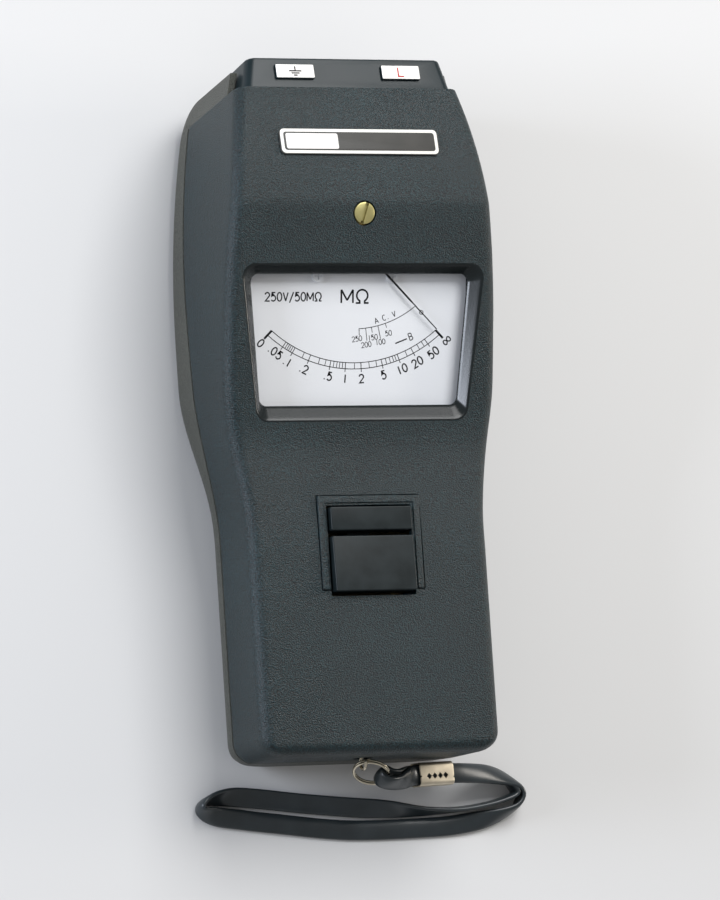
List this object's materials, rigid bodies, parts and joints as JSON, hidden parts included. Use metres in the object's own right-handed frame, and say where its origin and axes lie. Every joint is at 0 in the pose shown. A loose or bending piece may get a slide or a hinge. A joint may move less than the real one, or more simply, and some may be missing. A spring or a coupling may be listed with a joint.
{
  "type": "hand-held insulation tester",
  "caption": "Hand-held analog insulation tester with a slanted meter window, two push keys on the grip, two terminals at the head and a wrist strap.",
  "frame": {"origin": "bottom centre of the bounding box of everything but the strap, its ring and its clamp", "axes": "+Y along the case towards the terminals, +Z out of the dial face, away from the flat back, +X to the right of the dial"},
  "size_m": [0.1099, 0.2389, 0.0524],
  "materials": {
    "case_plastic": "fine leather grain",
    "rear_plastic": "fine leather grain",
    "smooth_plastic": "smooth",
    "key_plastic": "smooth",
    "label_white": "printed",
    "nameplate": "printed",
    "window": "clear",
    "dial_white": "printed",
    "adjuster": "slotted",
    "brass": "turned",
    "steel": "plain",
    "magnet": "ground",
    "base_plastic": "moulded",
    "copper": "enamelled",
    "pointer_black": "painted",
    "plunger": "smooth",
    "switch": "moulded",
    "board": "laminate",
    "core_steel": "laminated",
    "capacitor": "sleeve",
    "resistor": "coated",
    "tray": "moulded",
    "cell": "plain jacket",
    "nickel": "plated",
    "clamp_metal": "pressed",
    "strap": "glossy"
  },
  "bodies": {
    "case": {"front_case": "case_plastic", "rear_case": "rear_plastic", "terminal_block": "smooth_plastic", "earth_label": "label_white", "line_label": "label_white", "earth_socket": "brass", "line_socket": "brass", "nameplate": "nameplate", "window": "window", "dial_plate": "dial_white", "dial_screws": "steel", "front_bridge": "brass", "bridge_screws": "steel", "front_jewel": "brass", "rear_jewel": "brass", "movement_base": "base_plastic", "yoke_ring": "magnet", "core_magnet": "magnet", "core_spacers": "brass", "rear_hairspring": "brass", "movement_screws": "steel", "key_frame": "smooth_plastic", "key_pin": "steel", "measure_switch": "switch", "check_switch": "switch", "circuit_board": "board", "board_screws": "steel", "transformer_core": "core_steel", "transformer_bobbin": "copper", "capacitors": "capacitor", "resistors": "resistor", "battery_tray": "tray", "cells": "cell", "cell_springs": "steel", "cell_plates": "steel", "battery_cover": "smooth_plastic", "cover_screw": "steel", "case_screws": "steel", "strap_eyelet": "nickel", "strap_nut": "nickel", "strap_ring": "nickel", "strap_clamp": "clamp_metal", "strap": "strap"},
    "measure_key": {"measure_key": "key_plastic"},
    "measure_plunger": {"measure_plunger": "plunger"},
    "check_key": {"check_key": "key_plastic", "check_plunger": "plunger"},
    "adjuster": {"zero_adjuster": "adjuster"},
    "lever": {"zero_lever": "brass", "front_hairspring": "brass"},
    "pointer": {"pointer": "pointer_black", "moving_coil": "copper", "pivot_staffs": "steel"}
  },
  "joints": [
    {"name": "measure_press", "type": "hinge", "parent": "case", "child": "measure_key", "pos_m": [0, -0.03962, 0.0366], "axis": [1, 0, 0], "range_deg": [0, 6], "stiffness_Nm_per_rad": 0.3},
    {"name": "measure_plunge", "type": "slide", "parent": "case", "child": "measure_plunger", "axis": [0, 0, -1], "range_m": [0, 0.0011]},
    {"name": "check_press", "type": "slide", "parent": "case", "child": "check_key", "axis": [0, 0, -1], "range_m": [0, 0.0015], "stiffness_N_per_m": 1500},
    {"name": "zero_turn", "type": "hinge", "parent": "case", "child": "adjuster", "pos_m": [0, 0.06118, 0.04403], "axis": [0, -0.1822, 0.9833], "range_deg": [-60, 60]},
    {"name": "lever_turn", "type": "hinge", "parent": "case", "child": "lever", "pos_m": [0, 0.05243, 0.0424], "axis": [0, -0.1822, 0.9833], "range_deg": [-6, 6]},
    {"name": "pointer_sweep", "type": "hinge", "parent": "case", "child": "pointer", "pos_m": [0, 0.05243, 0.0424], "axis": [0, 0.1822, -0.9833], "range_deg": [0, 91], "stiffness_Nm_per_rad": 0.0004}
  ],
  "couplings": [
    {"joint": "measure_plunge", "follows": "measure_press", "m_per_rad": 0.009},
    {"joint": "lever_turn", "follows": "zero_turn", "ratio": -0.092}
  ]
}
